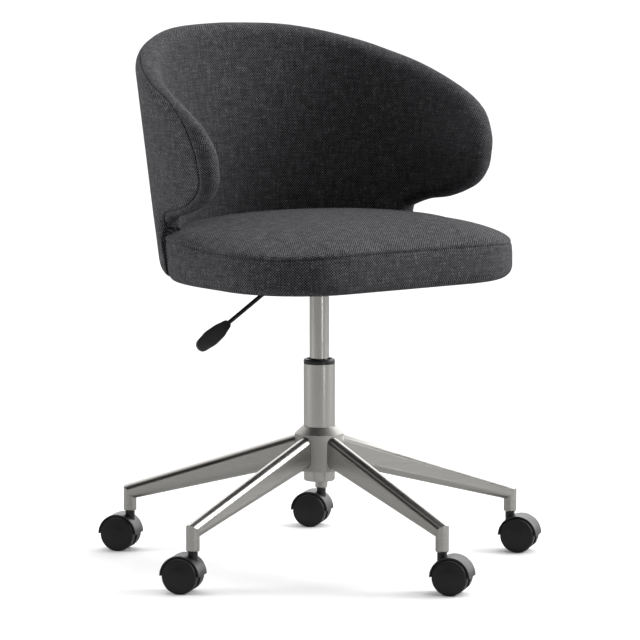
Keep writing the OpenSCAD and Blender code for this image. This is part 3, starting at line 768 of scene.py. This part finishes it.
def weave_material(name, warp, weft, fleck):
    """Basket weave on the fabric coordinates: pairs of threads go over and under in small squares."""
    m, t, bsdf = material(name)
    places = t.nodes.new("ShaderNodeUVMap")
    places.uv_map = "weave"
    uv = places.outputs[0]
    split = t.nodes.new("ShaderNodeSeparateXYZ")
    drift = t.nodes.new("ShaderNodeVectorMath")
    drift.operation = "MULTIPLY_ADD"
    wob = t.nodes.new("ShaderNodeTexNoise")
    wob.inputs["Scale"].default_value = 90
    t.links.new(uv, wob.inputs["Vector"])
    t.links.new(wob.outputs["Color"], drift.inputs[0])
    drift.inputs[1].default_value = (WANDER, WANDER, 0)
    t.links.new(uv, drift.inputs[2])
    t.links.new(drift.outputs[0], split.inputs[0])
    u, v = split.outputs["X"], split.outputs["Y"]
    cu, cv = maths(t, "DIVIDE", u, CELL), maths(t, "DIVIDE", v, CELL)
    sin_u = maths(t, "SINE", maths(t, "MULTIPLY", cu, math.pi))
    sin_v = maths(t, "SINE", maths(t, "MULTIPLY", cv, math.pi))
    over = ramp(t, maths(t, "MULTIPLY", sin_u, sin_v), -0.12, 0.12)
    thread_u = maths(t, "ABSOLUTE", maths(t, "SINE", maths(t, "MULTIPLY", cu, 2 * math.pi)))
    thread_v = maths(t, "ABSOLUTE", maths(t, "SINE", maths(t, "MULTIPLY", cv, 2 * math.pi)))
    arch_v = maths(t, "ABSOLUTE", sin_v)
    arch_u = maths(t, "ABSOLUTE", sin_u)
    up = maths(t, "MULTIPLY", maths(t, "POWER", thread_u, YARN), maths(t, "POWER", arch_v, ARCH))
    side = maths(t, "MULTIPLY", maths(t, "POWER", thread_v, YARN), maths(t, "POWER", arch_u, ARCH))
    pick = t.nodes.new("ShaderNodeMix")
    t.links.new(over, pick.inputs[0])
    t.links.new(side, pick.inputs[2])
    t.links.new(up, pick.inputs[3])
    height = pick.outputs[0]
    # each short float of thread has its own shade, and the yarn has slubs along it
    cell = t.nodes.new("ShaderNodeCombineXYZ")
    t.links.new(maths(t, "FLOOR", cu), cell.inputs[0])
    t.links.new(maths(t, "FLOOR", cv), cell.inputs[1])
    rand = t.nodes.new("ShaderNodeTexWhiteNoise")
    rand.noise_dimensions = "2D"
    t.links.new(cell.outputs[0], rand.inputs["Vector"])
    slub_u = noise(t, uv, SLUB, 2, 0.6, (1, 0.06, 1))
    slub_v = noise(t, uv, SLUB, 2, 0.6, (0.06, 1, 1))
    mottle = noise(t, uv, 95, 3, 0.6)
    warp_c = mix_colour(t, ramp(t, slub_u, 0.3, 0.7), warp, tuple(1.55 * x for x in warp))
    weft_c = mix_colour(t, ramp(t, slub_v, 0.3, 0.7), weft, tuple(1.45 * x for x in weft))
    base = mix_colour(t, over, weft_c, warp_c)
    base = mix_colour(t, ramp(t, rand.outputs["Value"], 0.86, 1.0, 0.0, 0.5), base, fleck)
    base = mix_colour(t, ramp(t, mottle, 0.3, 0.7, 0.0, 0.34), base, DARK_SPECK)
    # long streaks both ways, and shade between the threads
    streak_u = ramp(t, noise(t, uv, STREAK, 2, 0.6, (0.07, 1, 1)), 0.3, 0.7, 0.68, 1.3)
    streak_v = ramp(t, noise(t, uv, STREAK, 2, 0.6, (1, 0.07, 1)), 0.3, 0.7, 0.78, 1.2)
    dark = ramp(t, height, 0.15, 0.75, 0.35, 1.0)
    dark = maths(t, "MULTIPLY", dark, maths(t, "MULTIPLY", streak_u, streak_v))
    grey = t.nodes.new("ShaderNodeCombineColor")
    for k in range(3):
        t.links.new(dark, grey.inputs[k])
    base = mix_colour(t, 1.0, base, grey.outputs[0], "MULTIPLY")
    t.links.new(base, bsdf.inputs["Base Color"])
    t.links.new(ramp(t, mottle, 0.3, 0.7, 0.82, 0.95), bsdf.inputs["Roughness"])
    bsdf.inputs["Sheen Weight"].default_value = 0.04
    bsdf.inputs["Sheen Roughness"].default_value = 0.45
    bsdf.inputs["Sheen Tint"].default_value = (0.9, 0.92, 1.0, 1)
    bsdf.inputs["Specular IOR Level"].default_value = 0.1
    bump(t, bsdf, height, 0.00045, 0.8)
    return m


def nickel_material(name, stretch, rough):
    """Satin brushed nickel. The brush marks run along the axes where stretch is smallest."""
    m, t, bsdf = material(name)
    pos = t.nodes.new("ShaderNodeTexCoord").outputs["Object"]
    brush = noise(t, pos, 160, 3, 0.6, stretch)
    cloud = noise(t, pos, 9, 3, 0.5)
    tone = mix_colour(t, ramp(t, brush, 0.3, 0.7), (0.455, 0.445, 0.425), (0.53, 0.52, 0.5))
    tone = mix_colour(t, ramp(t, cloud, 0.35, 0.7, 0.0, 0.25), tone, (0.43, 0.42, 0.4))
    t.links.new(tone, bsdf.inputs["Base Color"])
    bsdf.inputs["Metallic"].default_value = 1
    t.links.new(ramp(t, brush, 0.25, 0.75, rough, rough + 0.1), bsdf.inputs["Roughness"])
    bsdf.inputs["Anisotropic"].default_value = 0.3
    bump(t, bsdf, brush, 0.00004, 0.5)
    return m


def plastic_material(name, colour, rough, grain):
    m, t, bsdf = material(name)
    pos = t.nodes.new("ShaderNodeTexCoord").outputs["Object"]
    fine = noise(t, pos, grain, 3, 0.6)
    wear = noise(t, pos, 45, 4, 0.6)
    light = tuple(min(1, 1.5 * x + 0.004) for x in colour)
    t.links.new(mix_colour(t, ramp(t, wear, 0.4, 0.75, 0.0, 0.6), colour, light), bsdf.inputs["Base Color"])
    t.links.new(ramp(t, wear, 0.3, 0.7, rough - 0.05, rough + 0.07), bsdf.inputs["Roughness"])
    bump(t, bsdf, fine, 0.00006, 0.5)
    return m


def painted_material(name, colour, rough, metallic=0.0):
    m, t, bsdf = material(name)
    pos = t.nodes.new("ShaderNodeTexCoord").outputs["Object"]
    orange = noise(t, pos, 900, 2, 0.5)
    tone = noise(t, pos, 30, 3, 0.6)
    light = tuple(min(1, 1.35 * x + 0.003) for x in colour)
    t.links.new(mix_colour(t, ramp(t, tone, 0.35, 0.7), colour, light), bsdf.inputs["Base Color"])
    bsdf.inputs["Metallic"].default_value = metallic
    t.links.new(ramp(t, orange, 0.3, 0.7, rough - 0.06, rough + 0.06), bsdf.inputs["Roughness"])
    bump(t, bsdf, orange, 0.00005, 0.4)
    return m


def plywood_material():
    m, t, bsdf = material("beech_plywood")
    pos = t.nodes.new("ShaderNodeTexCoord").outputs["Object"]
    grain = noise(t, pos, 40, 5, 0.65, (0.12, 1, 1))
    ply = maths(t, "SINE", maths(t, "MULTIPLY", noise(t, pos, 25, 2, 0.5, (1, 1, 14)), 40))
    tone = mix_colour(t, ramp(t, grain, 0.3, 0.7), (0.40, 0.25, 0.13), (0.62, 0.43, 0.25))
    tone = mix_colour(t, ramp(t, ply, 0.2, 0.9, 0.0, 0.3), tone, (0.30, 0.18, 0.09))
    t.links.new(tone, bsdf.inputs["Base Color"])
    t.links.new(ramp(t, grain, 0.3, 0.7, 0.55, 0.75), bsdf.inputs["Roughness"])
    bump(t, bsdf, grain, 0.0002, 0.4)
    return m


def dust_cloth_material():
    """Thin black non-woven cloth with a small embossed grid."""
    m, t, bsdf = material("dust_cloth")
    pos = t.nodes.new("ShaderNodeTexCoord").outputs["Object"]
    split = t.nodes.new("ShaderNodeSeparateXYZ")
    t.links.new(pos, split.inputs[0])
    dots = maths(t, "MULTIPLY", maths(t, "SINE", maths(t, "MULTIPLY", split.outputs["X"], 2500)),
                 maths(t, "SINE", maths(t, "MULTIPLY", split.outputs["Y"], 2500)))
    fibre = noise(t, pos, 700, 4, 0.7)
    t.links.new(mix_colour(t, fibre, (0.008, 0.008, 0.009), (0.03, 0.03, 0.032)), bsdf.inputs["Base Color"])
    t.links.new(ramp(t, fibre, 0.3, 0.7, 0.8, 0.95), bsdf.inputs["Roughness"])
    bump(t, bsdf, maths(t, "ADD", dots, fibre), 0.0002, 0.5)
    return m


def dress(names, mat):
    """Gives the CAD pieces their material."""
    for n in names:
        obj = nodes[n]
        obj.data.materials.clear()
        obj.data.materials.append(mat)


fabric = weave_material("charcoal_weave", warp=(0.139, 0.135, 0.144), weft=(0.010, 0.010, 0.011),
                        fleck=(0.24, 0.24, 0.24))
nickel_flat = nickel_material("nickel_arms", (0.2, 0.2, 6), 0.26)
nickel_column = nickel_material("nickel_column", (1, 1, 18), 0.16)
nickel_hub = nickel_material("nickel_hub", (1, 1, 18), 0.4)
bright = painted_material("zinc_steel", (0.50, 0.50, 0.50), 0.30, 1.0)
powder = painted_material("powder_coat", (0.012, 0.012, 0.013), 0.42)
satin_black = plastic_material("satin_black_plastic", (0.010, 0.010, 0.011), 0.36, 1500)
tyre = plastic_material("wheel_plastic", (0.008, 0.008, 0.009), 0.42, 1100)
grip = plastic_material("grip_plastic", (0.030, 0.030, 0.031), 0.42, 1500)
rubber = plastic_material("black_rubber", (0.012, 0.012, 0.012), 0.7, 800)

FIVE = range(1, 6)
dress([f"arm_{i}" for i in FIVE], nickel_flat)
dress(["base_hub"], nickel_hub)
dress(["outer_tube", "gas_cylinder"], nickel_column)
dress(["top_ring", "guide_bushing", "caster_sockets"], satin_black)
dress(["lever_handle"], grip)
dress([f"caster_housing_{i}" for i in FIVE], satin_black)
dress([f"wheel_{s}_{i}" for i in FIVE for s in "ab"], tyre)
dress(["taper_socket", "mechanism_plate", "lever_rod", "bracket_left", "bracket_rear", "bracket_right",
       "cylinder_gland"], powder)
dress(["piston_rod", "thrust_bearing", "rod_clip", "release_pin", "lever_pivot_pin", "plate_bolts", "t_nuts",
       "bracket_screws"] + [f"caster_{k}_{i}" for i in FIVE for k in ("stem", "axle")], bright)
dress(["seat_pan", "shell_core"], plywood_material())
dress(["dust_cover"], dust_cloth_material())
dress(["rubber_buffer"], rubber)

# ---------------------------------------------------------------- soft pieces

lining = wall_piece("pad_lining", lining_ring)
panel = wall_piece("back_panel", panel_ring)
cushion = seat_cover()

# piece, the nodes it stands for, air pressure, the furthest a point may move in metres, fill
for obj, nodes_replaced, pressure, cap, fill in (
        (lining, ["inner_pad", "shell_core"], 2.0, 0.003, 0.9),
        (panel, ["outer_panel"], 0.6, 0.0015, 0.9),
        (cushion, ["seat_cushion"], 3.0, 0.004, 0.85)):
    puff(obj, pressure, cap)
    subdivide(obj)
    obj.data.materials.append(fabric)
    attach(obj, "seat")
    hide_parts(*nodes_replaced)

# ---------------------------------------------------------------- floor and light

FLOOR = 22.0                    # metres from the middle to each edge
floor_mesh = bpy.data.meshes.new("floor")
floor_corners = [(-FLOOR, -FLOOR, 0), (FLOOR, -FLOOR, 0), (FLOOR, FLOOR, 0), (-FLOOR, FLOOR, 0)]
floor_mesh.from_pydata(floor_corners, [], [(0, 1, 2, 3)])
floor = bpy.data.objects.new("floor", floor_mesh)
scene.collection.objects.link(floor)
floor_mat, ft, fb = material("pale_floor")
# white to the eye, but a weaker bounce, so the underside and the inside of the back keep their shade
seen = ft.nodes.new("ShaderNodeLightPath").outputs["Is Camera Ray"]
ft.links.new(mix_colour(ft, seen, (0.4, 0.4, 0.4), (0.97, 0.97, 0.97)), fb.inputs["Base Color"])
fb.inputs["Roughness"].default_value = 0.9
fb.inputs["Specular IOR Level"].default_value = 0.1
floor_mesh.materials.append(floor_mat)


def area_light(name, place, target, size, power):
    data = bpy.data.lights.new(name, "AREA")
    data.shape = "RECTANGLE"
    data.size, data.size_y = size
    data.energy = power
    obj = bpy.data.objects.new(name, data)
    scene.collection.objects.link(obj)
    obj.location = place
    obj.rotation_euler = (Vector(target) - Vector(place)).to_track_quat("-Z", "Y").to_euler()
    return obj


area_light("right_box", (2.2, -1.5, 1.5), (0, 0, 0.5), (1.2, 1.8), 58)
left_box = area_light("left_box", (-2.3, 1.3, 1.0), (0, 0, 0.5), (1.2, 1.5), 44)
left_box.visible_glossy = False
strip = area_light("front_strip", (-0.05, -2.6, 1.0), (0, 0, 0.6), (0.26, 2.0), 9)
strip.visible_diffuse = False

# a dome that is bright on one side and overhead, and plain white to the camera
BRIGHT_SIDE = (0.62, 0.28, 0.73)
DOME_LOW, DOME_HIGH = 0.02, 2.45

world = bpy.data.worlds.new("studio")
scene.world = world
world.use_nodes = True
wt = world.node_tree
background = wt.nodes["Background"]
sky = wt.nodes.new("ShaderNodeTexCoord").outputs["Generated"]
toward = wt.nodes.new("ShaderNodeVectorMath")
toward.operation = "DOT_PRODUCT"
toward.inputs[1].default_value = BRIGHT_SIDE
wt.links.new(sky, toward.inputs[0])
dome = ramp(wt, toward.outputs["Value"], 0.15, 1.0, DOME_LOW, DOME_HIGH)
seen = wt.nodes.new("ShaderNodeLightPath").outputs["Is Camera Ray"]
wt.links.new(maths(wt, "MAXIMUM", dome, seen), background.inputs["Strength"])
background.inputs["Color"].default_value = (1, 1, 1, 1)

scene.view_settings.view_transform = "Standard"
